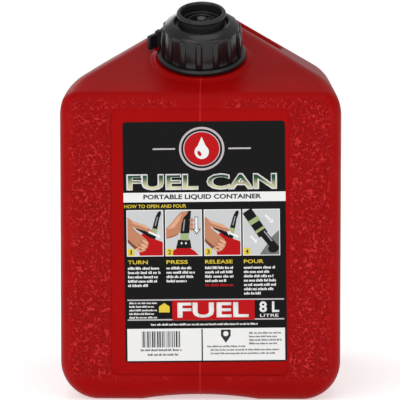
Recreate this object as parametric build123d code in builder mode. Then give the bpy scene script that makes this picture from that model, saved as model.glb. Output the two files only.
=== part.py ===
from build123d import *
import os
from math import cos, pi, radians, sin, tan

# A two-gallon-class fuel can: a blow-moulded shell with a moulded carry handle and a forward-leaning
# screw neck. A ribbed collar clamps the flange of a pour spout that is stowed upside down in the can.
# Millimetres. X is across, -Y is the labelled front, +Z is up, and the origin is on the floor.

# ---- driving dimensions: shell ----
body_width = 182.0
body_depth = 225.0
wall = 2.4
seam_height = 0.3
seam_width = 0.7
eave_height = 202.0
roof_angle = 30.0
shoulder_radius = 29.0
ridge_radius = 30.0
corner_radius = 25.0
edge_radius = 12.0
forehead_drop = 4.4
forehead_angle = 25.0
arch_half_width = 38.0
arch_rise = 3.0
base_pocket_half_length = 62.0
base_pocket_half_width = 57.0

# ---- driving dimensions: carry handle ----
grip_half_width = 14.0
grip_height = 19.0
finger_gap = 28.0
finger_gap_length = 77.0
handle_end_margin = 14.5
handle_rear_margin = 15.0
scoop_reach = 70.0
mouth_radius = 3.0
mouth_lift = 4.0
scoop_slope = 0.5
scoop_end_radius = 13.0
hole_corner_radius = 10.0

# ---- driving dimensions: label ----
label_side_margin = 38.75
label_top_margin = 15.9
label_thickness = 0.3
label_shift = 3.2
label_bottom = 25.7
label_tilt = 0.7
label_corner_radius = 2.4
panel_side_margin = 5.5
panel_bottom_margin = 8.7
panel_top_margin = 8.3
panel_depth = 0.8
panel_corner_radius = 6.0

# ---- driving dimensions: neck and thread ----
neck_setback = 48.0
neck_wall = 3.1
neck_height = 21.3
boss_margin = 1.3
boss_height = 1.4
boss_flare = 3.6
thread_pitch = 5.0
thread_height = 1.3
thread_root_width = 2.0
thread_crest_width = 1.0
thread_play = 0.6
neck_thread_turns = 1.4
neck_thread_start = 8.2

# ---- driving dimensions: collar ----
collar_gap = 2.2
collar_wall = 1.8
collar_taper = 0.5
collar_top_wall = 2.2
collar_hole_play = 1.7
collar_shoulder_radius = 3.0
flange_reach = 4.2
flange_thickness = 3.6
rib_count = 14
rib_width = 3.7
rib_head_drop = 1.8
rib_bottom_depth = 2.2
rib_top_depth = 0.9
rib_phase = -2.7
collar_thread_turns = 1.2

# ---- driving dimensions: stowed spout ----
spout_flange_play = 0.9
spout_flange_thickness = 2.0
gasket_width = 3.4
gasket_thickness = 1.7
ring_lip = 0.6
ring_wall = 2.9
ring_stand = 7.0
spout_play = 2.8
barrel_wall = 2.7
barrel_depth = 22.0
barrel_floor = 6.0
guide_thickness = 5.0
guide_depth = 5.8
guide_ring_radius = 9.4
guide_ring_wall = 1.4
guide_bar_width = 3.2
guide_bar_angle = 40.0
guide_boss_radius = 3.4
tube_radius = 10.0
tube_wall = 1.7
tube_top_drop = 6.0
tube_tip_gap = 1.0
tube_stop_reach = 2.6
tube_stop_play = 0.2
tube_stop_thickness = 1.6
vent_radius = 2.0
vent_bore_radius = 1.2
vent_play = 0.7
vent_top_drop = 2.0
vent_recess = 4.0
stem_radius = 1.8
nut_radius = 3.0
nut_height = 2.2
lock_ring_inset = 0.1
lock_ring_height = 10.0
clip_thickness = 1.2
clip_reach = 2.6
clip_groove_depth = 0.5
spring_wire_radius = 0.6
spring_stand = 1.9
spring_turns = 5.5
spring_length = 24.0
sleeve_wall = 1.9
sleeve_shoulder_lip = 0.1
sleeve_shoulder_thickness = 3.0
sleeve_length = 58.0
sleeve_mouth_inset = 3.0
sleeve_nose_length = 9.0
sleeve_travel = 15.0
hook_lip = 1.1
hook_width = 3.0
hook_length = 16.0
valve_lip = 1.8
valve_thickness = 3.2
seal_wire_radius = 0.6
tip_seal_drop = 5.0

# ---- driving dimensions: lock lever beside the collar ----
lever_angle = 150.0
lever_hub_radius = 2.9
lever_pin_radius = 1.0
lever_thickness = 9.6
lever_arm_width = 2.4
lever_nose_length = 11.0
lever_tail_length = 9.5
lever_boss_height = 1.8
lever_boss_radius = 3.4
lever_pin_seat = 3.0
lever_nose_turn = -84.0
lever_tail_turn = 76.0
lever_spring_wire_radius = 0.25
lever_spring_turns = 3.5
lever_spring_pitch = 0.7

# ---- named clearances ----
gap = 0.3
rim_gap = 0.5
running_gap = 0.05
root_sink = 0.4

# ---- derived places ----
half_width = body_width / 2
front_y = -body_depth / 2
forehead_height = eave_height - forehead_drop
ridge_height = eave_height + half_width * tan(radians(roof_angle))
grip_crown = ridge_height - ridge_radius * (1 / cos(radians(roof_angle)) - 1)
hole_top = grip_crown - grip_height
scoop_floor = hole_top - finger_gap
handle_length = finger_gap_length + 2 * handle_end_margin
handle_center = -front_y - handle_rear_margin - handle_length / 2
roof_slope = tan(radians(roof_angle))
scoop_edge = (ridge_height - scoop_floor + grip_half_width * scoop_slope) / (scoop_slope + roof_slope)
scoop_inner = grip_half_width / cos(radians(roof_angle))
scoop_outer = scoop_edge / cos(radians(roof_angle))
mouth_break = mouth_radius * (1 - cos(radians(45)))
mouth_steps = [
    (0, mouth_break, mouth_radius, 67.5),
    (mouth_break, mouth_radius - mouth_break, mouth_break, 22.5),
]
label_width = body_width - 2 * label_side_margin
label_height = forehead_height - label_bottom - label_top_margin
panel_width = label_width + 2 * panel_side_margin
panel_bottom = label_bottom - panel_bottom_margin
panel_top = label_bottom + label_height + panel_top_margin
forehead_slope = tan(radians(forehead_angle))
neck_direction = Vector(0, -sin(radians(forehead_angle)), cos(radians(forehead_angle)))
neck_origin = Vector(0, front_y + neck_setback, forehead_height + neck_setback * forehead_slope)
neck_plane = Plane(origin=neck_origin, x_dir=(1, 0, 0), z_dir=neck_direction)
neck_section = Plane(origin=neck_origin, x_dir=(1, 0, 0), z_dir=-neck_plane.y_dir)
neck_axis = Axis(neck_origin, neck_direction)

# The radii follow one another outwards from the pour tube, and the heights upwards from the neck.
tube_bore_radius = tube_radius - tube_wall
tube_stop_radius = tube_radius + tube_stop_reach
barrel_bore_radius = tube_stop_radius + tube_stop_play
barrel_radius = barrel_bore_radius + barrel_wall
ring_outer_radius = barrel_radius + ring_lip
ring_inner_radius = ring_outer_radius - ring_wall
neck_bore_radius = barrel_radius + spout_play
neck_root_radius = neck_bore_radius + neck_wall
collar_bore_radius = neck_root_radius + thread_height + thread_play
collar_wall_radius = collar_bore_radius + collar_wall
collar_top_radius = collar_wall_radius - collar_taper
collar_hole_radius = ring_outer_radius + collar_hole_play
flange_radius = collar_wall_radius + flange_reach
rib_bottom_radius = collar_wall_radius + rib_bottom_depth
rib_top_radius = collar_wall_radius + rib_top_depth
boss_radius = flange_radius + boss_margin
spout_flange_radius = collar_bore_radius - spout_flange_play

gasket_bottom = neck_height + gap
spout_flange_bottom = gasket_bottom + gasket_thickness
spout_flange_top = spout_flange_bottom + spout_flange_thickness
collar_ceiling = spout_flange_top + gap
collar_top = collar_ceiling + collar_top_wall
rib_head = collar_top - rib_head_drop
ring_top = collar_top + ring_stand
guide_top = ring_top - guide_depth
guide_bottom = guide_top - guide_thickness
tube_top = guide_bottom - tube_top_drop
vent_top = guide_top - vent_top_drop
vent_offset = tube_bore_radius - vent_radius - vent_play

barrel_bottom = -barrel_depth
barrel_floor_top = barrel_bottom + barrel_floor
lock_ring_radius = barrel_radius - lock_ring_inset
lock_ring_top = barrel_bottom - gap
lock_ring_bottom = lock_ring_top - lock_ring_height
clip_radius = tube_radius + clip_reach
clip_top = lock_ring_bottom - gap
clip_bottom = clip_top - clip_thickness
spring_coil_radius = tube_radius + spring_stand
spring_top = clip_bottom
sleeve_top = spring_top - spring_length
sleeve_bottom = sleeve_top - sleeve_length
sleeve_bore_radius = tube_radius + gap
sleeve_radius = sleeve_bore_radius + sleeve_wall
sleeve_shoulder_radius = barrel_radius + sleeve_shoulder_lip
sleeve_mouth_radius = tube_radius - sleeve_mouth_inset
hook_reach = barrel_radius + hook_lip
tube_tip = sleeve_bottom + sleeve_nose_length + sleeve_travel + tube_tip_gap
vent_tip = tube_tip + vent_recess
valve_radius = sleeve_mouth_radius + valve_lip
valve_top = sleeve_bottom - gap
valve_bottom = valve_top - valve_thickness
tip_seal_level = tube_tip + tip_seal_drop
tip_seal_center = sleeve_bore_radius - running_gap - seal_wire_radius
lever_pivot_radius = flange_radius + rim_gap + lever_hub_radius + gap
lever_bottom = lever_boss_height + gap
lever_top = lever_bottom + lever_thickness
lever_spring_radius = lever_pin_radius + gap + lever_spring_wire_radius
lever_well_radius = lever_spring_radius + lever_spring_wire_radius + gap
lever_well_depth = lever_spring_turns * lever_spring_pitch + 2 * lever_spring_wire_radius + gap


def place_on_neck(radius, angle, level):
    """A point given by its radius, bearing and height about the neck's axis."""
    across = radius * cos(radians(angle))
    along = radius * sin(radians(angle))
    return neck_plane.from_local_coords(Vector(across, along, level))


lever_origin = place_on_neck(lever_pivot_radius, lever_angle, 0)
boss_plane = Plane(origin=lever_origin, x_dir=(1, 0, 0), z_dir=neck_direction)
bar_heading = place_on_neck(1, guide_bar_angle, 0) - neck_origin
bar_plane = Plane(origin=neck_origin, x_dir=bar_heading, z_dir=neck_direction)


def scoop_tool(growth):
    """Cutter for one side pocket of the carry handle, larger all round by growth."""
    length = handle_length + 2 * growth
    height = ridge_height - scoop_floor
    with BuildPart() as tool:
        with BuildSketch(Plane.XZ.offset(length / 2 - handle_center)):
            with BuildLine():
                Polyline(
                    (grip_half_width, scoop_floor),
                    (grip_half_width + scoop_reach, scoop_floor + scoop_reach * scoop_slope),
                    (grip_half_width + scoop_reach, scoop_floor + 2 * height),
                    (grip_half_width, scoop_floor + 2 * height),
                    close=True,
                )
            make_face()
            if growth != 0:
                offset(amount=growth, kind=Kind.INTERSECTION)
        extrude(amount=-length)
        floor_edges = tool.edges().filter_by(lambda edge: edge.center().Z < scoop_floor + height)
        end_edges = floor_edges.filter_by(lambda edge: abs(edge.tangent_at(0.5).Y) < 0.5)
        upright_edges = tool.edges().filter_by(Axis.Z).group_by(Axis.X)[0]
        fillet(end_edges + upright_edges, radius=scoop_end_radius + growth)
    return tool.part


def moulded_form(inset):
    """The body's moulded outside, or with an inset the form that lies that far inside it."""
    tool = scoop_tool(inset)
    drop = inset / cos(radians(forehead_angle))
    ceiling = 2 * ridge_height
    before = front_y - body_depth
    beyond = front_y + (ceiling - forehead_height + drop) / forehead_slope
    with BuildPart() as form:
        with BuildSketch(Plane.XZ.offset(body_depth / 2 - inset)) as outline:
            with BuildLine():
                Polyline(
                    (arch_half_width, 0),
                    (half_width, 0),
                    (half_width, eave_height),
                    (0, ridge_height),
                    (-half_width, eave_height),
                    (-half_width, 0),
                    (-arch_half_width, 0),
                )
                ThreePointArc((-arch_half_width, 0), (0, arch_rise), (arch_half_width, 0))
            make_face()
            fillet(outline.vertices().group_by(Axis.Y)[-1], radius=ridge_radius)
            eaves = outline.vertices().filter_by(lambda corner: abs(corner.Y - eave_height) < 0.01)
            fillet(eaves, radius=shoulder_radius)
            base = outline.vertices().filter_by(lambda corner: abs(corner.Y) < 0.01).sort_by(Axis.X)
            fillet([base[0], base[-1]], radius=corner_radius)
            if inset != 0:
                offset(amount=-inset)
        extrude(amount=2 * inset - body_depth)
        with BuildSketch(Plane.YZ):
            with BuildLine():
                Polyline(
                    (before, forehead_height - drop + (before - front_y) * forehead_slope),
                    (beyond, ceiling),
                    (before, ceiling),
                    close=True,
                )
            make_face()
        extrude(amount=body_width, both=True, mode=Mode.SUBTRACT)
        front_and_back = form.faces().filter_by(Axis.Y)
        forehead = form.faces().filter_by(Plane(neck_origin, z_dir=neck_direction))
        edges = ShapeList()
        for edge in front_and_back.edges() + forehead.edges():
            if not any(edge.is_same(known) for known in edges):
                edges.append(edge)
        fillet(edges, radius=edge_radius - inset)
        with BuildSketch(Plane.YZ):
            with BuildLine():
                Line((-base_pocket_half_length, inset), (base_pocket_half_length, inset))
                ThreePointArc(
                    (base_pocket_half_length, inset),
                    (0, arch_rise + inset),
                    (-base_pocket_half_length, inset),
                )
            make_face()
        extrude(amount=base_pocket_half_width + inset, both=True, mode=Mode.SUBTRACT)
        add(tool, mode=Mode.SUBTRACT)
        add(mirror(tool, about=Plane.YZ, mode=Mode.PRIVATE), mode=Mode.SUBTRACT)
        with BuildSketch(Plane.YZ):
            with Locations((handle_center, (hole_top + scoop_floor) / 2)):
                RectangleRounded(
                    finger_gap_length + 2 * inset,
                    finger_gap + 2 * inset,
                    hole_corner_radius + inset,
                )
        extrude(amount=grip_half_width + 1, both=True, mode=Mode.SUBTRACT)
        for side in (-1, 1):
            roof_plane = Plane(
                origin=(0, handle_center, ridge_height - inset / cos(radians(roof_angle))),
                x_dir=(side * cos(radians(roof_angle)), 0, -sin(radians(roof_angle))),
                z_dir=(side * sin(radians(roof_angle)), 0, cos(radians(roof_angle))),
            )
            grip_plane = Plane(
                origin=(side * (grip_half_width - inset), handle_center, 0),
                x_dir=(0, side, 0),
                z_dir=(side, 0, 0),
            )
            for depth, thickness, growth, angle in mouth_steps:
                if inset <= 0:
                    with BuildSketch(roof_plane.offset(-depth)):
                        with Locations(((scoop_inner + scoop_outer) / 2, 0)):
                            RectangleRounded(
                                scoop_outer - scoop_inner + 2 * growth,
                                handle_length + 2 * growth,
                                scoop_end_radius + growth,
                            )
                    extrude(amount=-thickness, taper=angle, mode=Mode.SUBTRACT)
                    with BuildSketch(grip_plane.offset(-depth)):
                        with Locations((0, (hole_top + scoop_floor + growth + mouth_lift) / 2)):
                            RectangleRounded(
                                finger_gap_length + 2 * growth,
                                finger_gap + growth - mouth_lift,
                                hole_corner_radius + growth,
                            )
                    extrude(amount=-thickness, taper=angle, mode=Mode.SUBTRACT)
    return form.part


def thread_ridge(base_radius, tip_radius, turns, start):
    """A right-hand helical ridge from its base radius to its tip radius."""
    with BuildPart() as ridge:
        with BuildLine():
            path = Helix(
                pitch=thread_pitch,
                height=thread_pitch * turns,
                radius=base_radius,
                center=place_on_neck(0, 0, start),
                direction=neck_direction,
            )
        foot = path @ 0
        outward = (foot - place_on_neck(0, 0, start)).normalized()
        side = 1 if tip_radius > base_radius else -1
        with BuildSketch(Plane(origin=foot, x_dir=outward, z_dir=path % 0)):
            with BuildLine():
                Polyline(
                    (-side * root_sink, -thread_root_width / 2),
                    (tip_radius - base_radius, -thread_crest_width / 2),
                    (tip_radius - base_radius, thread_crest_width / 2),
                    (-side * root_sink, thread_root_width / 2),
                    close=True,
                )
            make_face()
        sweep(path=path, is_frenet=True)
    return ridge.part


fuel_space = moulded_form(wall)
outer_form = moulded_form(0)
seam_form = moulded_form(-seam_height)
neck_thread = thread_ridge(
    neck_root_radius, neck_root_radius + thread_height, neck_thread_turns, neck_thread_start
)
collar_thread = thread_ridge(
    collar_bore_radius,
    collar_bore_radius - thread_height,
    collar_thread_turns,
    neck_thread_start - thread_pitch / 2,
)

# ---- the can's own pieces ----
with BuildPart() as parting_line:
    add(seam_form)
    with BuildSketch(Plane.YZ):
        Rectangle(4 * body_depth, 4 * ridge_height)
    extrude(amount=seam_width / 2, both=True, mode=Mode.INTERSECT)

with BuildPart() as can_shell:
    add(outer_form)
    add(parting_line.part)
    with BuildSketch(neck_section):
        with BuildLine():
            Polyline(
                (0, -wall - edge_radius),
                (boss_radius, -wall - edge_radius),
                (boss_radius + boss_flare, 0),
                (boss_radius + 1, boss_height - 0.6),
                (boss_radius, boss_height),
                (0, boss_height),
                close=True,
            )
        make_face()
        with Locations((neck_root_radius / 2, neck_height / 2)):
            Rectangle(neck_root_radius, neck_height)
    revolve(axis=neck_axis)
    with BuildSketch(boss_plane.offset(-lever_pin_seat - wall)):
        Circle(lever_boss_radius)
    extrude(amount=lever_pin_seat + wall + lever_boss_height)
    add(fuel_space, mode=Mode.SUBTRACT)
    with BuildSketch(boss_plane.offset(-lever_pin_seat - wall)):
        Circle(lever_boss_radius)
    extrude(amount=lever_pin_seat + wall)
    with BuildSketch(boss_plane.offset(-lever_pin_seat)):
        Circle(lever_pin_radius)
    extrude(amount=lever_pin_seat + 2 * lever_boss_height, mode=Mode.SUBTRACT)
    with BuildSketch(neck_plane.offset(-wall - 2 * edge_radius)):
        Circle(neck_bore_radius)
    extrude(amount=wall + 2 * edge_radius + 2 * neck_height, mode=Mode.SUBTRACT)
    add(neck_thread)
    with BuildSketch(Plane.XZ.offset(seam_height - front_y)):
        with Locations((0, (panel_bottom + panel_top) / 2)):
            RectangleRounded(panel_width, panel_top - panel_bottom, panel_corner_radius)
    extrude(amount=-seam_height - panel_depth, mode=Mode.SUBTRACT)
can_shell.part.label = "can_shell"

with BuildPart() as front_label:
    with BuildSketch(Plane.XZ.offset(-front_y - panel_depth)):
        with Locations(Location((label_shift, label_bottom + label_height / 2, 0), (0, 0, label_tilt))):
            RectangleRounded(label_width, label_height, label_corner_radius)
    extrude(amount=label_thickness)
front_label.part.label = "front_label"

with BuildPart() as lever_pin:
    with BuildSketch(boss_plane.offset(-lever_pin_seat)):
        Circle(lever_pin_radius)
    extrude(amount=lever_pin_seat + lever_top + gap)
    with BuildSketch(boss_plane.offset(lever_top + gap)):
        Circle(2 * lever_pin_radius)
    extrude(amount=lever_pin_radius)
    fillet(lever_pin.edges().sort_by(neck_axis)[-1], radius=lever_pin_radius / 2)
lever_pin.part.label = "lever_pin"

# ---- the lock lever and its spring ----
with BuildPart() as lock_lever:
    with BuildSketch(boss_plane.offset(lever_bottom)):
        Circle(lever_hub_radius)
        with BuildLine():
            Line((0, 0), Vector(lever_nose_length, 0).rotate(Axis.Z, lever_angle + lever_nose_turn))
        trace(line_width=lever_arm_width)
        with BuildLine():
            Line((0, 0), Vector(lever_tail_length, 0).rotate(Axis.Z, lever_angle + lever_tail_turn))
        trace(line_width=lever_arm_width)
    extrude(amount=lever_thickness)
    with BuildSketch(boss_plane.offset(lever_bottom)):
        Circle(lever_pin_radius + running_gap)
    extrude(amount=lever_thickness, mode=Mode.SUBTRACT)
    with BuildSketch(boss_plane.offset(lever_bottom)):
        Circle(lever_well_radius)
    extrude(amount=lever_well_depth, mode=Mode.SUBTRACT)
lock_lever.part.label = "lock_lever"

# ---- the collar ----
with BuildPart() as collar:
    with BuildSketch(neck_section):
        with BuildLine():
            Polyline(
                (collar_bore_radius, collar_gap),
                (flange_radius - 1, collar_gap),
                (flange_radius, collar_gap + 1),
                (flange_radius, collar_gap + flange_thickness - 1.4),
                (flange_radius - 1.4, collar_gap + flange_thickness),
                (collar_wall_radius, collar_gap + flange_thickness),
                (collar_top_radius, collar_top - collar_shoulder_radius),
            )
            RadiusArc(
                (collar_top_radius, collar_top - collar_shoulder_radius),
                (collar_top_radius - collar_shoulder_radius, collar_top),
                -collar_shoulder_radius,
            )
            Polyline(
                (collar_top_radius - collar_shoulder_radius, collar_top),
                (collar_hole_radius, collar_top),
                (collar_hole_radius, collar_ceiling),
                (collar_bore_radius, collar_ceiling),
                (collar_bore_radius, collar_gap),
            )
        make_face()
    revolve(axis=neck_axis)
    for index in range(rib_count):
        rib_turn = rib_phase - 90 + index * 360 / rib_count
        rib_out = Vector(cos(radians(rib_turn)), sin(radians(rib_turn)), 0)
        rib_x = neck_plane.from_local_coords(rib_out) - neck_origin
        rib_plane = Plane(origin=neck_origin, x_dir=rib_x, z_dir=rib_x.cross(neck_direction))
        with BuildSketch(rib_plane):
            with BuildLine():
                rib_foot = collar_gap + flange_thickness - root_sink
                Polyline(
                    (collar_bore_radius + collar_wall / 2, rib_foot),
                    (rib_bottom_radius, rib_foot),
                    (rib_top_radius, rib_head - rib_width / 2),
                    (rib_top_radius - rib_width / 4, rib_head),
                    (collar_bore_radius + collar_wall / 2, rib_head),
                    close=True,
                )
            make_face()
        extrude(amount=rib_width / 2, both=True)
    add(collar_thread)
collar.part.label = "collar"

# ---- the stowed spout's fixed pieces ----
with BuildPart() as spout_base:
    with BuildSketch(neck_section):
        with BuildLine():
            Polyline(
                (ring_inner_radius + 0.7, ring_top),
                (ring_outer_radius - 0.7, ring_top),
                (ring_outer_radius, ring_top - 0.9),
                (ring_outer_radius, spout_flange_top),
                (spout_flange_radius, spout_flange_top),
                (spout_flange_radius, spout_flange_bottom),
                (barrel_radius, spout_flange_bottom),
                (barrel_radius, barrel_bottom),
                (tube_radius, barrel_bottom),
                (tube_radius, barrel_floor_top),
                (barrel_bore_radius, barrel_floor_top),
                (barrel_bore_radius, guide_bottom),
                (ring_inner_radius, guide_bottom),
                (ring_inner_radius, ring_top - 0.9),
                close=True,
            )
        make_face()
    revolve(axis=neck_axis)
spout_base.part.label = "spout_base"

with BuildPart() as flange_gasket:
    with BuildSketch(neck_plane.offset(gasket_bottom)):
        Circle(spout_flange_radius - gap)
        Circle(spout_flange_radius - gap - gasket_width, mode=Mode.SUBTRACT)
    extrude(amount=spout_flange_bottom - gasket_bottom)
flange_gasket.part.label = "flange_gasket"

with BuildPart() as stem_guide:
    with BuildSketch(neck_plane.offset(guide_bottom)):
        Circle(ring_inner_radius)
        Circle(ring_inner_radius - guide_ring_wall, mode=Mode.SUBTRACT)
        Circle(guide_ring_radius)
        Circle(guide_ring_radius - guide_ring_wall, mode=Mode.SUBTRACT)
    extrude(amount=guide_thickness)
    with BuildSketch(bar_plane.offset(guide_bottom)) as bar:
        Rectangle(2 * ring_inner_radius - guide_ring_wall, guide_bar_width)
        Circle(guide_boss_radius)
        with Locations((vent_offset, 0)):
            Circle(vent_radius + 1)
    extrude(amount=guide_thickness - 1)
    with BuildSketch(neck_plane.offset(guide_bottom)):
        Circle(stem_radius)
    extrude(amount=guide_thickness, mode=Mode.SUBTRACT)
    with BuildSketch(bar_plane.offset(guide_bottom)):
        with Locations((vent_offset, 0)):
            Circle(vent_radius)
    extrude(amount=guide_thickness, mode=Mode.SUBTRACT)
stem_guide.part.label = "stem_guide"

with BuildPart() as spout_tube:
    with BuildSketch(neck_section):
        with BuildLine():
            Polyline(
                (tube_bore_radius, tube_tip),
                (tube_radius - 0.8, tube_tip),
                (tube_radius, tube_tip + 0.8),
                (tube_radius, tube_top),
                (tube_bore_radius, tube_top),
                close=True,
            )
        make_face()
        with Locations((tube_bore_radius, barrel_floor_top)):
            Rectangle(tube_stop_radius - tube_bore_radius, tube_stop_thickness, align=(Align.MIN, Align.MIN))
        with Locations((tube_radius, (clip_top + clip_bottom) / 2)):
            Rectangle(2 * clip_groove_depth, clip_thickness, mode=Mode.SUBTRACT)
        with Locations((tip_seal_center - seal_wire_radius, tip_seal_level)):
            Rectangle(
                4 * seal_wire_radius,
                3 * seal_wire_radius,
                align=(Align.MIN, Align.CENTER),
                mode=Mode.SUBTRACT,
            )
    revolve(axis=neck_axis)
spout_tube.part.label = "spout_tube"

with BuildPart() as tube_seal:
    with BuildSketch(neck_section):
        with Locations((tip_seal_center, tip_seal_level)):
            Circle(seal_wire_radius)
    revolve(axis=neck_axis)
tube_seal.part.label = "tube_seal"

vent_plane = bar_plane.offset(vent_tip)
with BuildPart() as vent_tube:
    with BuildSketch(vent_plane):
        with Locations((vent_offset, 0)):
            Circle(vent_radius)
            Circle(vent_bore_radius, mode=Mode.SUBTRACT)
    extrude(amount=vent_top - vent_tip)
vent_tube.part.label = "vent_tube"

with BuildPart() as valve_stem:
    with BuildSketch(neck_plane.offset(valve_bottom)):
        Circle(stem_radius)
    extrude(amount=guide_top + nut_height - 1 - valve_bottom)
    chamfer(valve_stem.edges().sort_by(neck_axis)[-1], length=0.4)
valve_stem.part.label = "valve_stem"

with BuildPart() as stem_nut:
    with BuildSketch(neck_plane.offset(guide_top - 1)):
        RegularPolygon(nut_radius, 6)
        Circle(stem_radius, mode=Mode.SUBTRACT)
    extrude(amount=nut_height)
stem_nut.part.label = "stem_nut"

with BuildPart() as valve_disc:
    with BuildSketch(neck_section):
        with BuildLine():
            Polyline(
                (stem_radius, valve_bottom),
                (valve_radius - 1, valve_bottom),
                (valve_radius, valve_bottom + 1),
                (valve_radius, valve_top - 1),
                (sleeve_mouth_radius, valve_top - 1),
                (sleeve_mouth_radius - 1, valve_top + 1),
                (stem_radius + 1.2, valve_top + 2.5),
                (stem_radius, valve_top + 2.5),
                close=True,
            )
        make_face()
    revolve(axis=neck_axis)
valve_disc.part.label = "valve_disc"

with BuildPart() as valve_seal:
    with BuildSketch(neck_plane.offset(valve_top - 1)):
        Circle(valve_radius)
        Circle(sleeve_mouth_radius, mode=Mode.SUBTRACT)
    extrude(amount=1)
valve_seal.part.label = "valve_seal"

with BuildPart() as ring_clip:
    with BuildSketch(neck_plane.offset(clip_bottom)):
        Circle(clip_radius)
        Circle(tube_radius - clip_groove_depth, mode=Mode.SUBTRACT)
        with Locations((0, clip_radius)):
            Rectangle(4, 2 * clip_radius - tube_radius, mode=Mode.SUBTRACT)
    extrude(amount=clip_thickness)
ring_clip.part.label = "ring_clip"

# ---- the turning lock ring ----
with BuildPart() as lock_ring:
    with BuildSketch(neck_plane.offset(lock_ring_bottom)):
        Circle(lock_ring_radius)
        with PolarLocations(lock_ring_radius + 0.6, 20):
            Circle(1.2, mode=Mode.SUBTRACT)
        Circle(tube_radius + running_gap, mode=Mode.SUBTRACT)
    extrude(amount=lock_ring_height)
lock_ring.part.label = "lock_ring"

# ---- the sprung sleeve ----
with BuildPart() as nozzle_sleeve:
    with BuildSketch(neck_section):
        with BuildLine():
            Polyline(
                (sleeve_bore_radius, sleeve_top),
                (sleeve_shoulder_radius, sleeve_top),
                (sleeve_shoulder_radius, sleeve_top - sleeve_shoulder_thickness),
                (sleeve_radius, sleeve_top - sleeve_shoulder_thickness - 3),
                (sleeve_radius, sleeve_bottom + sleeve_nose_length),
                (sleeve_mouth_radius + 2.2, sleeve_bottom),
                (sleeve_mouth_radius, sleeve_bottom),
                (sleeve_mouth_radius, sleeve_bottom + sleeve_nose_length - 2),
                (sleeve_bore_radius, sleeve_bottom + sleeve_nose_length),
                close=True,
            )
        make_face()
    revolve(axis=neck_axis)
    with BuildSketch(neck_section):
        with BuildLine():
            hook_root = sleeve_top - sleeve_shoulder_thickness - 12
            Polyline(
                (sleeve_radius - 1, hook_root),
                (hook_reach, hook_root),
                (hook_reach, hook_root - 2.5),
                (sleeve_radius - 1, hook_root - hook_length),
                close=True,
            )
        make_face()
        mirror(about=Plane.YZ)
    extrude(amount=hook_width / 2, both=True)
nozzle_sleeve.part.label = "nozzle_sleeve"

with BuildPart() as return_spring:
    with BuildLine():
        coil = Helix(
            pitch=(spring_length - 2 * spring_wire_radius - 2 * gap) / spring_turns,
            height=spring_length - 2 * spring_wire_radius - 2 * gap,
            radius=spring_coil_radius,
            center=place_on_neck(0, 0, sleeve_top + gap + spring_wire_radius),
            direction=neck_direction,
        )
    with BuildSketch(Plane(origin=coil @ 0, z_dir=coil % 0)):
        Circle(spring_wire_radius)
    sweep(path=coil, is_frenet=True)
return_spring.part.label = "return_spring"

with BuildPart() as lever_spring:
    with BuildLine():
        lever_coil = Helix(
            pitch=lever_spring_pitch,
            height=lever_spring_pitch * lever_spring_turns,
            radius=lever_spring_radius,
            center=boss_plane.from_local_coords(Vector(0, 0, lever_bottom + lever_spring_wire_radius)),
            direction=neck_direction,
        )
    with BuildSketch(Plane(origin=lever_coil @ 0, z_dir=lever_coil % 0)):
        Circle(lever_spring_wire_radius)
    sweep(path=lever_coil, is_frenet=True)
lever_spring.part.label = "lever_spring"

pieces = [
    can_shell, front_label, lever_pin, lock_lever, collar, spout_base, flange_gasket, stem_guide,
    spout_tube, tube_seal, vent_tube, valve_stem, stem_nut, valve_disc, valve_seal, ring_clip,
    lock_ring, nozzle_sleeve, return_spring, lever_spring,
]
os.makedirs("parts", exist_ok=True)
for piece in pieces:
    export_step(piece.part, f"parts/{piece.part.label}.step")
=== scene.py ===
import random
from math import atan2, cos, hypot, pi, radians, sin

import bmesh
import bpy
from bpy.props import (
    FloatProperty, FloatVectorProperty, IntProperty, PointerProperty, StringProperty,
)
from bpy.types import Operator, Panel, PropertyGroup
from mathutils import Matrix, Vector


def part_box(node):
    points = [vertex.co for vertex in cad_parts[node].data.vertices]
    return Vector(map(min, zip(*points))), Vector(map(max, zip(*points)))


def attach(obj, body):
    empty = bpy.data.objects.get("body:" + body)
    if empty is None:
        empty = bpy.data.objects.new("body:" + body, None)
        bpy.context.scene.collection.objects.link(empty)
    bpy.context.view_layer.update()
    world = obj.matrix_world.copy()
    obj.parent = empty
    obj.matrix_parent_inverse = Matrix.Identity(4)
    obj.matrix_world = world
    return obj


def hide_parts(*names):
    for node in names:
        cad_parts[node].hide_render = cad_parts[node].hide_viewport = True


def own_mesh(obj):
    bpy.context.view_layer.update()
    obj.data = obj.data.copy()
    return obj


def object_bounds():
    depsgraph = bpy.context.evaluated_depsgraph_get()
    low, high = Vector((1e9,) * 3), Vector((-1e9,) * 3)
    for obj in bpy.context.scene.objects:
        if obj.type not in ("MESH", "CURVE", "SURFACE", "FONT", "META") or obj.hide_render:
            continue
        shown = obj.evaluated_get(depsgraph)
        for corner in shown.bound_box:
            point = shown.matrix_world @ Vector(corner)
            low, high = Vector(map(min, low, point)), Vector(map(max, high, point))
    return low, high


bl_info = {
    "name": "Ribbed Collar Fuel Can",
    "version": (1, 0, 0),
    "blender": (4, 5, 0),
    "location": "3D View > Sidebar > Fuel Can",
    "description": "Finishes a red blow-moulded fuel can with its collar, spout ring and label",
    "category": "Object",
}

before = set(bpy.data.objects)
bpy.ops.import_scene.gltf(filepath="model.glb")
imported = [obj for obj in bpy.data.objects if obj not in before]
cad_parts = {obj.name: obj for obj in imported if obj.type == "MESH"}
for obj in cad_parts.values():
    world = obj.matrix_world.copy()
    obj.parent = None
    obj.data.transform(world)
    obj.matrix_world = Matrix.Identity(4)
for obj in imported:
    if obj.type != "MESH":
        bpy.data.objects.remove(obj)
CAD_BOX = [[float(value) for value in corner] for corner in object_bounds()]

MM = 0.001
NECK_LEAN = radians(25.0)
NECK_FOOT = Vector((0.0, -0.0645, 0.219983))
LABEL_LOW, LABEL_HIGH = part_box("front_label")


# ---- modelling helpers ----

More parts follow.
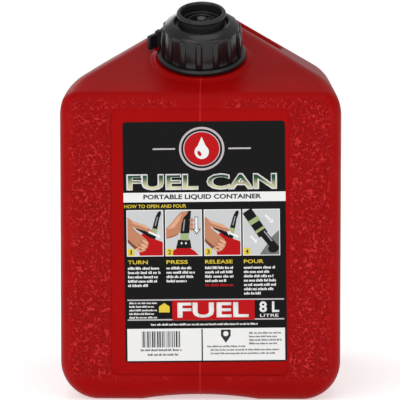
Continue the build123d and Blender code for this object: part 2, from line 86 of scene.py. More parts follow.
def deselect_all():
    """Leave edit mode and clear the selection, because operators act on all that is selected."""
    if bpy.context.object and bpy.context.object.mode != "OBJECT":
        bpy.ops.object.mode_set(mode="OBJECT")
    bpy.ops.object.select_all(action="DESELECT")


def pick_only(piece):
    """Select one object and make it the active one."""
    deselect_all()
    piece.select_set(True)
    bpy.context.view_layer.objects.active = piece


def bake_place(piece):
    """Move the object's place, turn and size into its mesh."""
    bpy.context.view_layer.update()
    pick_only(piece)
    bpy.ops.object.transform_apply(location=True, rotation=True, scale=True)


def edit_all():
    """Enter edit mode on the active object with all of its mesh selected."""
    bpy.ops.object.mode_set(mode="EDIT")
    bpy.ops.mesh.select_all(action="SELECT")


def face_outwards():
    """Turn every face of the edited mesh outwards and leave edit mode."""
    bpy.ops.mesh.select_all(action="SELECT")
    bpy.ops.mesh.normals_make_consistent(inside=False)
    bpy.ops.object.mode_set(mode="OBJECT")


def thicken(piece, height):
    """Raise a flat piece into a closed plate."""
    pick_only(piece)
    edit_all()
    bpy.ops.mesh.extrude_region_move(TRANSFORM_OT_translate={"value": (0, 0, height)})
    face_outwards()


def select_where(piece, keep, kind="FACE"):
    """In edit mode, select just the faces, edges or vertices that the test keeps."""
    bpy.ops.mesh.select_mode(type=kind)
    bpy.ops.mesh.select_all(action="DESELECT")
    mesh = bmesh.from_edit_mesh(piece.data)
    parts = {"FACE": mesh.faces, "EDGE": mesh.edges, "VERT": mesh.verts}[kind]
    for part in parts:
        if keep(part):
            part.select_set(True)
    mesh.select_flush_mode()
    bmesh.update_edit_mesh(piece.data)


def lathe(name, profile, sides, closed=True):
    """Turn a profile of radius and height, in millimetres, into a ring or a solid about Z."""
    deselect_all()
    radius, height = profile[0]
    bpy.ops.mesh.primitive_circle_add(
        vertices=sides, radius=radius * MM, location=(0, 0, height * MM),
        fill_type="NOTHING" if closed else "NGON",
    )
    piece = bpy.context.object
    piece.name = name
    edit_all()
    bake_place(piece)
    bpy.ops.object.mode_set(mode="EDIT")
    for (start, low), (end, high) in zip(profile, profile[1:]):
        step = (0, 0, (high - low) * MM)
        bpy.ops.mesh.extrude_region_move(TRANSFORM_OT_translate={"value": step})
        share = end / start
        bpy.ops.transform.resize(value=(share, share, 1), center_override=(0, 0, high * MM))
    if closed:
        bpy.ops.mesh.select_mode(type="EDGE")
        bpy.ops.mesh.select_all(action="DESELECT")
        bpy.ops.mesh.select_non_manifold()
        bpy.ops.mesh.bridge_edge_loops()
    bpy.ops.mesh.select_all(action="SELECT")
    bpy.ops.mesh.remove_doubles(threshold=0.00001)
    face_outwards()
    return piece


def round_edges(piece, width, segments=3, angle=30.0):
    """Round every crease sharper than the angle, and shade the piece smooth."""
    pick_only(piece)
    bevel = piece.modifiers.new("rounded_edges", "BEVEL")
    bevel.width = width * MM
    bevel.segments = segments
    bevel.limit_method = "ANGLE"
    bevel.angle_limit = radians(angle)
    bevel.harden_normals = False
    bpy.ops.object.modifier_apply(modifier=bevel.name)
    bpy.ops.object.shade_smooth_by_angle(angle=radians(angle))


def stand_on_neck(piece, turn=0.0):
    """Turn an upright piece about its axis, lean it with the neck and bake its place."""
    lean = Matrix.Rotation(NECK_LEAN, 4, "X") @ Matrix.Rotation(turn, 4, "Z")
    piece.matrix_world = Matrix.Translation(NECK_FOOT) @ lean
    bake_place(piece)


def join(pieces, name):
    """Join several pieces into the first one."""
    deselect_all()
    for piece in pieces:
        piece.select_set(True)
    bpy.context.view_layer.objects.active = pieces[0]
    bpy.ops.object.join()
    pieces[0].name = name
    return pieces[0]


def tidy_normals(piece):
    """Merge doubles and turn every face outwards."""
    pick_only(piece)
    edit_all()
    bpy.ops.mesh.remove_doubles(threshold=0.000002)
    face_outwards()


# ---- shader helpers ----

class Signal:
    """A shader socket in plain arithmetic: each operation adds its node to the same material."""

    def __init__(self, tree, socket=None):
        self.tree = tree
        self.socket = socket

    def add(self, kind, settings=None, sockets=None, output=0):
        """Add a node of a kind: its settings first, then the values or links of its sockets."""
        node = self.tree.nodes.new(kind)
        for name, value in (settings or {}).items():
            if name == "stops":
                ramp = node.color_ramp
                for index, (place, colour) in enumerate(value):
                    stop = ramp.elements[index] if index < 2 else ramp.elements.new(place)
                    stop.position = place
                    stop.color = colour
            else:
                setattr(node, name, value)
        for name, value in (sockets or {}).items():
            if isinstance(value, Signal):
                self.tree.links.new(value.socket, node.inputs[name])
            else:
                node.inputs[name].default_value = value
        return Signal(self.tree, node.outputs[output])

    def math(self, operation, first, second=0.0):
        """One Math node."""
        return self.add("ShaderNodeMath", {"operation": operation}, {0: first, 1: second})

    def __add__(self, other):
        return self.math("ADD", self, other)

    __radd__ = __add__

    def __sub__(self, other):
        return self.math("SUBTRACT", self, other)

    def __rsub__(self, other):
        return self.math("SUBTRACT", other, self)

    def __mul__(self, other):
        return self.math("MULTIPLY", self, other)

    __rmul__ = __mul__

    def __abs__(self):
        return self.math("ABSOLUTE", self)

    def rise(self, low, high):
        """0 below low, 1 above high, and smooth between them."""
        return self.add(
            "ShaderNodeMapRange", {"interpolation_type": "SMOOTHSTEP"},
            {"Value": self, "From Min": low, "From Max": high},
        )

    def larger(self, other):
        return self.math("MAXIMUM", self, other)

    def noise(self, place, scale, detail=2.0, roughness=0.5):
        """Noise read at a place, with this signal's tree."""
        sockets = {"Vector": place, "Scale": scale, "Detail": detail, "Roughness": roughness}
        return self.add("ShaderNodeTexNoise", {}, sockets)

    def stretch(self, factors):
        """A place with each of its axes scaled."""
        settings = {"operation": "MULTIPLY"}
        return self.add("ShaderNodeVectorMath", settings, {0: self, 1: factors}, "Vector")

    def blend(self, first, second):
        """A colour between two, with this signal as the share of the second."""
        settings = {"data_type": "RGBA", "clamp_factor": True}
        return self.add("ShaderNodeMix", settings, {0: self, 6: first, 7: second}, 2)

    def bump(self, distance, normal=None, strength=1.0):
        """A normal raised by this signal, in metres for a signal of one."""
        sockets = {"Height": self, "Distance": distance, "Strength": strength}
        if normal is not None:
            sockets["Normal"] = normal
        return self.add("ShaderNodeBump", {}, sockets)


def start_finish(name, constants):
    """A new material with its shader's constants set: the material, its shader and its place."""
    material = bpy.data.materials.new(name)
    material.use_nodes = True
    tree = material.node_tree
    shader = tree.nodes["Principled BSDF"]
    for socket, value in constants.items():
        shader.inputs[socket].default_value = value
    place = Signal(tree).add("ShaderNodeTexCoord", {}, {}, "Object")
    return material, shader, place


def feed(shader, place, signals):
    """Link signals to the shader's sockets."""
    for socket, signal in signals.items():
        place.tree.links.new(signal.socket, shader.inputs[socket])


def axes(place):
    """The three coordinates of a place, in metres."""
    return [place.add("ShaderNodeSeparateXYZ", {}, {"Vector": place}, axis) for axis in "XYZ"]


def dress(node_names, material):
    """Give carried-over nodes a material on their own slots."""
    for name in node_names:
        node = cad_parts[name]
        if not node.material_slots:
            node.data.materials.append(material)
        for slot in node.material_slots:
            slot.material = material


def moulded_plastic(name, colour, pale, roughness, sheen=0.34, grain_scale=900.0, grain=0.00003):
    """Moulded plastic with a fine skin, faint handling marks and a slightly uneven gloss."""
    material, shader, place = start_finish(name, {"IOR": 1.5, "Specular IOR Level": sheen})
    fine = place.noise(place, grain_scale, 3.0)
    cloud = place.noise(place, 60.0, 3.0)
    across = place.stretch((1.0, 1.0, 7.0))
    scuffs = place.noise(across, 420.0, 4.0, 0.65).rise(0.62, 0.78) * cloud.rise(0.45, 0.7)
    base = (cloud.rise(0.3, 0.75) * 0.6 + scuffs * 0.4).blend((*colour, 1.0), (*pale, 1.0))
    feed(shader, place, {
        "Base Color": base,
        "Roughness": cloud * 0.14 + scuffs * 0.12 + (roughness - 0.07),
        "Normal": (fine + cloud * 1.5).bump(grain),
    })
    return material


# ---- settings ----

class CanShellSettings(PropertyGroup):
    """Colour and skin of the blow-moulded shell."""

    colour: FloatVectorProperty(
        name="Colour", description="Colour of the polyethylene", subtype="COLOR", size=3,
        min=0.0, max=1.0, default=(0.355, 0.0012, 0.0014),
    )
    # darker colour: uneven tone in the clouds, and painted shade in the grain's valleys, near the floor
    # and on the shoulders
    shade: FloatVectorProperty(
        name="Shade", description="Darker colour in the clouds and the grain", subtype="COLOR",
        size=3, min=0.0, max=1.0, default=(0.205, 0.0002, 0.0003),
    )
    # paler colour: a painted highlight on the grain tops, and wear on rubbed edges, lighter along the seam
    highlight_and_wear_colour: FloatVectorProperty(
        name="Highlight and wear", description="Paler colour on the grain tops and rubbed edges",
        subtype="COLOR", size=3, min=0.0, max=1.0, default=(0.60, 0.030, 0.032),
    )
    grain_size: FloatProperty(
        name="Grain size", description="Distance between the pebbles of the grain", unit="LENGTH",
        default=0.0022, min=0.0005, max=0.01,
    )
    grain_depth: FloatProperty(
        name="Grain depth", description="Height of the pebbles", unit="LENGTH",
        default=0.0007, min=0.0, max=0.002,
    )
    gloss: FloatProperty(
        name="Roughness", description="Roughness of the smooth bands", subtype="FACTOR",
        default=0.36, min=0.0, max=1.0,
    )


class CollarSettings(PropertyGroup):
    """Sizes of the screw collar's outside."""

    rib_count: IntProperty(
        name="Ribs", description="Number of grip ribs", default=14, min=3, max=40,
    )
    rib_phase: FloatProperty(
        name="Rib turn", description="Turn of the first rib from the front", subtype="ANGLE",
        default=radians(-2.7),
    )
    rib_foot_radius: FloatProperty(
        name="Rib foot radius", description="Radius of the ribs at the flange", unit="LENGTH",
        default=0.0272,
    )
    rib_head_radius: FloatProperty(
        name="Rib head radius", description="Radius of the ribs at their heads", unit="LENGTH",
        default=0.0260,
    )
    edge_round: FloatProperty(
        name="Edge radius", description="Rounding of the moulded edges, in millimetres",
        default=0.42, min=0.05, max=1.0,
    )
    colour: FloatVectorProperty(
        name="Colour", description="Colour of the black plastic", subtype="COLOR", size=3,
        min=0.0, max=1.0, default=(0.0050, 0.0050, 0.0053),
    )


class SpoutSettings(PropertyGroup):
    """Sizes of the stowed spout's visible end."""

    lip_radius: FloatProperty(
        name="Lip radius", description="Outer radius of the rolled lip", unit="LENGTH",
        default=0.0161,
    )
    waist_radius: FloatProperty(
        name="Waist radius", description="Outer radius under the lip", unit="LENGTH",
        default=0.0147,
    )
    bar_turn: FloatProperty(
        name="Bar turn", description="Direction of the bar across the ring", subtype="ANGLE",
        default=radians(40.0),
    )


class LabelSettings(PropertyGroup):
    """Size and inks of the printed label."""

    width: FloatProperty(
        name="Width", description="Width of the film", unit="LENGTH", default=0.1045,
    )
    height: FloatProperty(
        name="Height", description="Height of the film", unit="LENGTH", default=0.156,
    )
    tilt: FloatProperty(
        name="Tilt", description="Turn of the film on the can", subtype="ANGLE",
        default=radians(0.7),
    )
    title: StringProperty(name="Title", description="Large generic title", default="FUEL CAN")
    seed: IntProperty(name="Seed", description="Seed of the small print", default=11)


class SpringSettings(PropertyGroup):
    """Sizes of the spring between the spout's clip and its sleeve."""

    wire_radius: FloatProperty(
        name="Wire radius", description="Radius of the spring wire", unit="LENGTH", default=0.0006,
    )
    coil_radius: FloatProperty(
        name="Coil radius", description="Radius of the coil at the wire's centre", unit="LENGTH",
        default=0.0119,
    )
    coil_turns: FloatProperty(
        name="Turns", description="Number of turns of the coil", default=5.5, min=1.0,
    )
    coil_foot: FloatProperty(
        name="Coil foot", description="Height of the lowest turn on the neck's axis", unit="LENGTH",
        default=-0.0569,
    )
    coil_length: FloatProperty(
        name="Coil length", description="Rise of the wire's centre over all turns", unit="LENGTH",
        default=0.0222,
    )
    sleeve_travel: FloatProperty(
        name="Sleeve travel", description="How far the sleeve slides", unit="LENGTH", default=0.015,
    )


class StageSettings(PropertyGroup):
    """Camera and light."""

    azimuth: FloatProperty(
        name="Azimuth", description="Camera bearing from the front", subtype="ANGLE",
        default=radians(1.4),
    )
    elevation: FloatProperty(
        name="Elevation", description="Camera height angle", subtype="ANGLE", default=radians(5.0),
    )
    distance: FloatProperty(
        name="Distance", description="Camera distance", unit="LENGTH", default=1.75,
    )
    frame_width: FloatProperty(
        name="Frame width", description="Width seen at the front face", unit="LENGTH",
        default=0.2576,
    )
    aim_height: FloatProperty(
        name="Aim height", description="Height that the camera looks at", unit="LENGTH",
        default=0.1311,
    )


# ---- pieces ----

class FUELCAN_OT_shell(Operator):
    """Give the blow-moulded shell its polyethylene skin"""

    bl_idname = "fuel_can.shell"
    bl_label = "Can shell finish"

    def execute(self, context):
        values = context.scene.can_shell_settings
        material, shader, place = start_finish(
            "red_polyethylene_skin", {"IOR": 1.5, "Specular IOR Level": 0.05}
        )
        x, y, z = axes(place)
        side, depth = abs(x), abs(y)

        # grain on the flat faces, with ragged borders; the panel and the centre band stay smooth
        panel_side, panel_foot, panel_head = (0.0568, 0.0590), (0.0150, 0.0170), (0.1895, 0.1915)
        drift = place.noise(place, 70.0, 2.0) * 0.008 - 0.004
        ragged_side, ragged_height = side + drift, z + drift
        front_and_back = depth.rise(0.1090, 0.1110) * (1 - ragged_side.rise(0.0810, 0.0870))
        flanks = side.rise(0.0860, 0.0890) * (1 - (depth + drift).rise(0.0980, 0.1050))
        heights = ragged_height.rise(0.0110, 0.0210) * (1 - ragged_height.rise(0.1880, 0.2040))
        front = 1 - y.rise(-0.1120, -0.1070)
        panel_heights = z.rise(*panel_foot) * (1 - z.rise(*panel_head))
        panel = front * (1 - side.rise(*panel_side)) * panel_heights
        centre_band = front * (1 - ragged_side.rise(0.0110, 0.0210))
        grained = front_and_back.larger(flanks) * heights * (1 - panel) * (1 - centre_band)

        # a net of wrinkles along the contours of bent noise, with a finer net of threads in it
        bend = 0.0026
        wobble = place.add(
            "ShaderNodeTexNoise", {}, {"Vector": place, "Scale": 240.0, "Detail": 2.0}, "Color"
        )
        bent = place.add(
            "ShaderNodeVectorMath", {"operation": "MULTIPLY_ADD"},
            {0: wobble, 1: (bend, bend, bend), 2: place}, "Vector",
        )
        wrinkles = 1 - abs(place.noise(bent, 1.0 / values.grain_size, 0.0) * 2 - 1).rise(0.0, 0.24)
        threads = 1 - abs(place.noise(bent, 1.65 / values.grain_size, 0.0) * 2 - 1).rise(0.0, 0.30)
        pebbles = (wrinkles * 0.75).larger(threads * 0.45) + wrinkles * threads * 0.25
        waves = place.noise(place, 13.0, 2.0)
        dimples = place.noise(place, 90.0, 2.0)
        fine = place.noise(place, 1500.0, 2.0)

        # wear and moulding marks
        clouds = place.noise(place, 22.0, 4.0, 0.55)
        across = place.stretch((1.0, 1.0, 0.16))
        rubs = place.noise(across, 330.0, 4.0, 0.7).rise(0.64, 0.80) * clouds.rise(0.42, 0.62)
        edges = side.rise(0.0795, 0.0870) * depth.rise(0.1010, 0.1085)
        worn_edges = edges * dimples.rise(0.35, 0.75)
        seam = 1 - side.rise(0.00025, 0.0006)

        # painted shade: the colour is darker near the floor and on the shoulders
        painted_low_and_shoulder_shade = (1 - z.rise(0.0, 0.035)) * 0.45 + z.rise(0.200, 0.212) * 0.40
        # painted shade: the grain's valleys are coloured darker
        valley_shade = 1 - pebbles.rise(0.05, 0.45)
        # uneven tone from the clouds, plus the painted shade near the floor, on the shoulders and in the
        # grain's valleys
        tone_and_painted_shade = clouds.rise(0.25, 0.8) * 0.26 + painted_low_and_shoulder_shade + grained * valley_shade * 0.30
        body = tone_and_painted_shade.blend((*values.colour, 1.0), (*values.shade, 1.0))
        # painted highlight: the grain's crests are coloured paler
        crest_highlight = grained * (pebbles.rise(0.30, 0.95) * 0.78 + 0.06)
        # paler colour: the painted highlight on the crests, with wear from rubs and worn edges, and
        # lighter along the seam
        highlight_and_wear_mix = crest_highlight + rubs * 0.12 + worn_edges * 0.08 + seam * 0.42
        colour = highlight_and_wear_mix.blend(body, (*values.highlight_and_wear_colour, 1.0))

        skin = (waves * 6.0 + dimples * 0.10 + fine * 0.03).bump(0.0002)
        feed(shader, place, {
            "Base Color": colour,
            "Roughness": grained * 0.10 + clouds * 0.10 + rubs * 0.12 + (values.gloss - 0.05),
            "Normal": (grained * pebbles).bump(values.grain_depth, skin),
        })
        dress(["can_shell"], material)
        return {"FINISHED"}


class FUELCAN_OT_collar(Operator):
    """Model the ribbed screw collar"""

    bl_idname = "fuel_can.collar"
    bl_label = "Screw collar"

    def execute(self, context):
        values = context.scene.can_collar_settings
        per_rib = 10
        sides = values.rib_count * per_rib
        wall_foot, rib_head = 6.3, 23.6
        foot_radius, head_radius = 25.1, 24.62
        inside_wall, off_wall, off_foot = 24.0, 25.2, 25.3
        profile = [
            (23.3, 2.2), (28.5, 2.2), (29.15, 2.5), (29.3, 3.1), (29.3, 4.3), (29.0, 5.0),
            (28.2, 5.5), (27.0, 5.75), (25.3, 5.8), (foot_radius, wall_foot), (25.0, 10.0),
            (24.85, 16.0), (24.7, 21.5), (head_radius, rib_head), (24.4, 24.5), (23.9, 25.2), (22.9, 25.9),
            (21.2, 26.85), (19.6, 27.55), (18.7, 27.8), (18.1, 27.65), (17.8, 27.1), (17.8, 25.65),
            (20.6, 25.6), (23.3, 25.6), (23.3, 20.0), (23.3, 10.0),
        ]
        collar = lathe("screw_collar", profile, sides)
        pick_only(collar)
        bpy.ops.object.mode_set(mode="EDIT")
        spacing, column_turn = 2 * pi / values.rib_count, 2 * pi / sides
        half = 2.05 * column_turn

        # the ribs are raised off the wall, then drawn in at their heads and at their side columns
        def on_rib(face):
            centre = face.calc_center_median()
            outside = centre.xy.length >= inside_wall * MM
            if not (wall_foot - 0.2) * MM < centre.z < (rib_head - 0.1) * MM or not outside:
                return False
            turn = atan2(centre.y, centre.x) % spacing
            return min(turn, spacing - turn) < half

        select_where(collar, on_rib)
        bpy.ops.mesh.extrude_region_move(TRANSFORM_OT_translate={"value": (0, 0, 0)})
        grow = values.rib_foot_radius / (foot_radius * MM)
        bpy.ops.transform.resize(value=(grow, grow, 1), center_override=(0, 0, 0))

        def at_head(vertex):
            return vertex.co.z > (rib_head - 0.05) * MM and vertex.co.xy.length > off_wall * MM

        def under_head(vertex):
            beside = (rib_head - 2.5) * MM < vertex.co.z < (rib_head - 0.05) * MM
            return beside and vertex.co.xy.length > off_wall * MM

        select_where(collar, at_head, "VERT")
        shrink = values.rib_head_radius / (head_radius * MM * grow)
        bpy.ops.transform.resize(value=(shrink, shrink, 1), center_override=(0, 0, rib_head * MM))
        select_where(collar, under_head, "VERT")
        ease = (1 + 3 * shrink) / 4
        bpy.ops.transform.resize(value=(ease, ease, 1), center_override=(0, 0, 0))
        for column, share in ((1, 0.90), (2, 0.42)):
            def in_column(vertex):
                beside = wall_foot * MM - 1e-5 < vertex.co.z < (rib_head + 0.1) * MM
                if vertex.co.xy.length < off_foot * MM or not beside:
                    return False
                turn = atan2(vertex.co.y, vertex.co.x) % spacing
                return abs(min(turn, spacing - turn) - column * column_turn) < 0.2 * column_turn

            select_where(collar, in_column, "VERT")
            rise = (values.rib_foot_radius / MM - foot_radius) * share
            pull = (foot_radius + rise) * MM / values.rib_foot_radius
            bpy.ops.transform.resize(value=(pull, pull, 1), center_override=(0, 0, 0))
        bpy.ops.object.mode_set(mode="OBJECT")
        tidy_normals(collar)
        round_edges(collar, values.edge_round, 3, 24.0)
        stand_on_neck(collar, values.rib_phase - pi / 2)
        dark = values.colour
        finish = moulded_plastic("collar_black_satin", dark, [c * 1.7 for c in dark], 0.22, 0.42)
        collar.data.materials.append(finish)
        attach(collar, "collar_nut")
        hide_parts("collar")
        return {"FINISHED"}


class FUELCAN_OT_spout_ring(Operator):
    """Model the stowed spout's ring and the guide that crosses it"""

    bl_idname = "fuel_can.spout_ring"
    bl_label = "Spout ring and guide"

    def execute(self, context):
        values = context.scene.can_spout_settings
        lip, waist = values.lip_radius / MM, values.waist_radius / MM
        ring = lathe("spout_ring", [
            (14.0, 34.8), (lip - 1.0, 34.8), (lip - 0.35, 34.55), (lip, 33.9), (lip, 32.9),
            (lip - 0.3, 32.2), (lip - 0.9, 31.7), (waist, 31.2), (waist, 28.6), (waist + 0.1, 26.4),
            (waist + 0.7, 25.4), (22.2, 25.3), (22.4, 25.1), (22.4, 23.5), (22.2, 23.3),
            (15.7, 23.3), (15.5, 23.0), (15.5, -21.6), (15.1, -22.0), (10.1, -22.0), (10.1, -16.0),
            (12.6, -16.0),
            (12.8, -15.8), (12.8, 23.9), (13.2, 24.0), (13.2, 30.0), (13.25, 33.4), (13.5, 34.3),
        ], 112)
        round_edges(ring, 0.12, 2, 40.0)
        stand_on_neck(ring)
        black = moulded_plastic(
            "spout_black_gloss", (0.0100, 0.0100, 0.0108), (0.020, 0.020, 0.021), 0.30
        )
        ring.data.materials.append(black)
        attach(ring, "spout")
        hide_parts("spout_base")

        outer = lathe("guide_rim", [
            (11.8, 24.0), (13.18, 24.0), (13.18, 28.4), (12.9, 29.0), (12.2, 29.0), (11.8, 28.6),
        ], 96)
        inner = lathe("guide_hoop", [
            (8.0, 24.0), (9.4, 24.0), (9.4, 28.3), (9.05, 29.0), (8.35, 29.0), (8.0, 28.3),
        ], 80)
        boss = lathe("guide_boss", [
            (1.85, 24.0), (3.4, 24.0), (3.4, 27.5), (3.1, 27.98), (1.95, 27.98), (1.85, 27.8),
        ], 48)
        # the bar across the rim, open where the boss stands
        bar_long, bar_wide, bar_tall, bar_middle, boss_gap = 24.6, 3.2, 3.9, 26.0 * MM, 3.0 * MM
        deselect_all()
        bpy.ops.mesh.primitive_cube_add(size=bar_long * MM, location=(0, 0, bar_middle))
        bar = bpy.context.object
        bake_place(bar)
        edit_all()
        bpy.ops.transform.resize(
            value=(1, bar_wide / bar_long, bar_tall / bar_long), center_override=(0, 0, bar_middle)
        )
        bpy.ops.mesh.bisect(plane_co=(boss_gap, 0, 0), plane_no=(1, 0, 0))
        bpy.ops.mesh.select_all(action="SELECT")
        bpy.ops.mesh.bisect(plane_co=(-boss_gap, 0, 0), plane_no=(1, 0, 0))
        select_where(bar, lambda f: abs(f.calc_center_median().x) < 2.0 * MM)
        bpy.ops.mesh.delete(type="FACE")
        bpy.ops.mesh.select_all(action="SELECT")
        bpy.ops.mesh.fill_holes(sides=8)
        bpy.ops.object.mode_set(mode="OBJECT")
        bar.matrix_world = Matrix.Rotation(values.bar_turn, 4, "Z")
        bake_place(bar)
        eye = lathe("vent_eye", [
            (2.0, 24.0), (3.0, 24.0), (3.0, 27.6), (2.75, 27.98), (2.2, 27.98), (2.0, 27.7),
        ], 40)
        eye_reach = 5.6 * MM
        eye.location = (eye_reach * cos(values.bar_turn), eye_reach * sin(values.bar_turn), 0)
        bake_place(eye)
        guide = join([outer, inner, boss, bar, eye], "spout_guide")
        tidy_normals(guide)
        round_edges(guide, 0.2, 2, 35.0)
        stand_on_neck(guide)
        guide.data.materials.append(black)
        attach(guide, "spout")
        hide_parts("stem_guide")
        return {"FINISHED"}


# ---- label ----

# in millimetres: the film's thickness, where the inks start inside it, the title's height over the
# label's centre, and where the title's colour fades about that height
FILM_TOP = 0.20
PRINT_SINK = 0.14
TITLE_HEIGHT = 39.2
TITLE_FADE = (-4.6, 3.4)


def ink_finish(name, colour, second=None):
    """Printed film: one ink, slightly uneven, on a glossy sheet."""
    material, shader, place = start_finish(name, {"IOR": 1.48, "Specular IOR Level": 0.09})
    speck = place.noise(place, 2600.0, 2.0)
    cloud = place.noise(place, 45.0, 3.0)
    dull = [0.86 * c for c in colour]
    base = (speck.rise(0.3, 0.7) * 0.45 + cloud * 0.35).blend((*colour, 1.0), (*dull, 1.0))
    if second is not None:
        level = axes(place)[2]
        middle = (LABEL_LOW.z + LABEL_HIGH.z) / 2 + TITLE_HEIGHT * MM
        fade_low, fade_high = (middle + height * MM for height in TITLE_FADE)
        base = level.rise(fade_low, fade_high).blend((*second, 1.0), base)
    feed(shader, place, {
        "Base Color": base,
        "Roughness": cloud * 0.16 + speck * 0.05 + 0.20,
        "Normal": cloud.bump(0.0009),
    })
    return material


class Print:
    """A print run: flat closed plates laid on the film, in millimetres from the label's centre.

    A plate's level is the height of its top, and a later ink lies on a higher level.
    """

    def __init__(self):
        self.inks = {}
        self.plates = []

    def ink(self, name, colour=None, second=None):
        if name not in self.inks:
            self.inks[name] = ink_finish("ink_" + name, colour, second)
        return self.inks[name]

    def finish_plate(self, piece, ink, level):
        """Raise the flat faces into closed plates and give them their ink."""
        thicken(piece, (level - PRINT_SINK) * MM)
        piece.data.materials.append(self.inks[ink])
        self.plates.append(piece)

    def blocks(self, ink, level, boxes):
        """Rectangles given by left, low, right and high."""
        deselect_all()
        bpy.ops.object.add(type="MESH")
        piece = bpy.context.object
        bpy.ops.object.mode_set(mode="EDIT")
        for left, low, right, high in boxes:
            middle = ((left + right) / 2 * MM, (low + high) / 2 * MM, PRINT_SINK * MM)
            bpy.ops.mesh.primitive_plane_add(size=(right - left) * MM, location=middle)
            share = (high - low) / (right - left)
            bpy.ops.transform.resize(value=(1, share, 1), center_override=middle)
        self.finish_plate(piece, ink, level)

    def shape(self, ink, level, corners):
        """One polygon, its corners in order."""
        deselect_all()
        bpy.ops.mesh.primitive_circle_add(vertices=len(corners), radius=MM, fill_type="NGON")
        piece = bpy.context.object
        for vertex, (x, y) in zip(piece.data.vertices, corners):
            vertex.co = (x * MM, y * MM, PRINT_SINK * MM)
        self.finish_plate(piece, ink, level)

    def disc(self, ink, level, x, y, wide, high=None, turn=0.0, sides=40):
        """An ellipse about a centre, by its two half sizes."""
        high = wide if high is None else high
        corners = []
        for step in range(sides):
            a, b = wide * cos(2 * pi * step / sides), high * sin(2 * pi * step / sides)
            corners.append((x + a * cos(turn) - b * sin(turn), y + a * sin(turn) + b * cos(turn)))
        self.shape(ink, level, corners)

    def bar(self, ink, level, start, end, wide):
        """A straight stroke between two points."""
        (x0, y0), (x1, y1) = start, end
        long = hypot(x1 - x0, y1 - y0)
        nx, ny = -(y1 - y0) / long * wide / 2, (x1 - x0) / long * wide / 2
        self.shape(ink, level, [
            (x0 + nx, y0 + ny), (x0 - nx, y0 - ny), (x1 - nx, y1 - ny), (x1 + nx, y1 + ny),
        ])

    def arrow(self, ink, level, start, end, wide):
        """A stroke with a head at its end."""
        (x0, y0), (x1, y1) = start, end
        long = hypot(x1 - x0, y1 - y0)
        ux, uy = (x1 - x0) / long, (y1 - y0) / long
        neck = (x1 - ux * wide * 1.6, y1 - uy * wide * 1.6)
        self.bar(ink, level, start, (neck[0] + ux * 0.1, neck[1] + uy * 0.1), wide)
        self.shape(ink, level, [
            (x1, y1), (neck[0] - uy * wide * 1.2, neck[1] + ux * wide * 1.2),
            (neck[0] + uy * wide * 1.2, neck[1] - ux * wide * 1.2),
        ])

    def words(self, ink, level, text, x, y, wide, high, weight=0.0, lean=0.0):
        """A line of generic text, stretched to a width and height about its centre."""
        deselect_all()
        bpy.ops.object.text_add(location=(0, 0, 0))
        line = bpy.context.object
        line.data.body = text
        line.data.offset = weight
        line.data.shear = lean
        line.data.resolution_u = 3
        bpy.ops.object.convert(target="MESH")
        line = bpy.context.object
        xs = [v.co.x for v in line.data.vertices]
        ys = [v.co.y for v in line.data.vertices]
        sx, sy = wide * MM / (max(xs) - min(xs)), high * MM / (max(ys) - min(ys))
        for vertex in line.data.vertices:
            vertex.co = (
                (vertex.co.x - (max(xs) + min(xs)) / 2) * sx + x * MM,
                (vertex.co.y - (max(ys) + min(ys)) / 2) * sy + y * MM,
                PRINT_SINK * MM,
            )
        self.finish_plate(line, ink, level)

    def small_print(self, ink, level, dice, x, y, wide, high):
        """One line of text too small to read, as word-long dashes made of letter-wide strokes."""
        boxes, at = [], x
        while at < x + wide - 0.5:
            word = min(dice.uniform(1.1, 3.6) * high, x + wide - at)
            letter = at
            while letter < at + word - 0.2:
                step = dice.uniform(0.42, 0.62) * high
                tall = high * dice.choice((0.72, 0.72, 1.0))
                end = min(letter + step * 0.74, at + word)
                boxes.append((letter, y - high / 2, end, y - high / 2 + tall))
                letter += step
            at += word + 0.42 * high
        self.blocks(ink, level, boxes)


